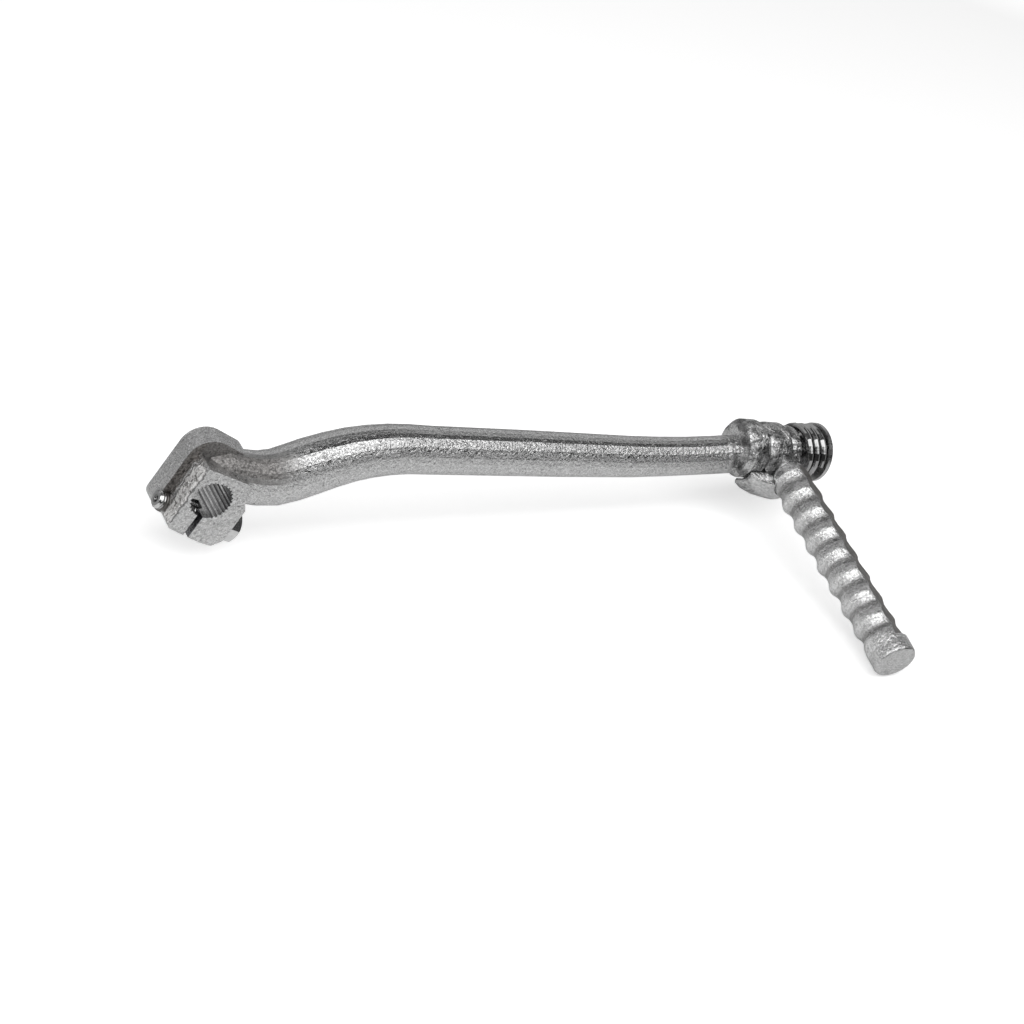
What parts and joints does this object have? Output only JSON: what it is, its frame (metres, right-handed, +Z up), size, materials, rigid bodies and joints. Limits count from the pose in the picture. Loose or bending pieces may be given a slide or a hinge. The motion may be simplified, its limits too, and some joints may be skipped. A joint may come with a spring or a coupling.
{
  "type": "kick start lever",
  "caption": "Cranked round-bar kick start lever with a splined pinch clamp at one end and a sprung, fold-out ribbed foot pedal at the other.",
  "frame": {"origin": "middle of the splined bore, on its axis", "axes": "+X from the bore to the pedal joint, +Y along the bore towards the engine, the way the splined shaft leaves, +Z up"},
  "size_m": [0.2657, 0.1126, 0.0453],
  "materials": {
    "plated_forging": "rough forging under thin bright plating, satin to grainy",
    "bolt_steel": "zinc plated, worn",
    "spring_steel": "dark plated wire, glossy",
    "washer_steel": "plated, fine turned"
  },
  "bodies": {
    "arm": {"arm": "plated_forging", "pinch_bolt": "bolt_steel", "spring": "spring_steel", "end_washer": "washer_steel", "circlip": "spring_steel"},
    "pedal": {"pedal": "plated_forging"}
  },
  "joints": [
    {"name": "pedal_fold", "type": "hinge", "parent": "arm", "child": "pedal", "pos_m": [0.2004, 0, 0.0034], "axis": [0.9936, 0, -0.1132], "range_deg": [-100, 0]}
  ]
}
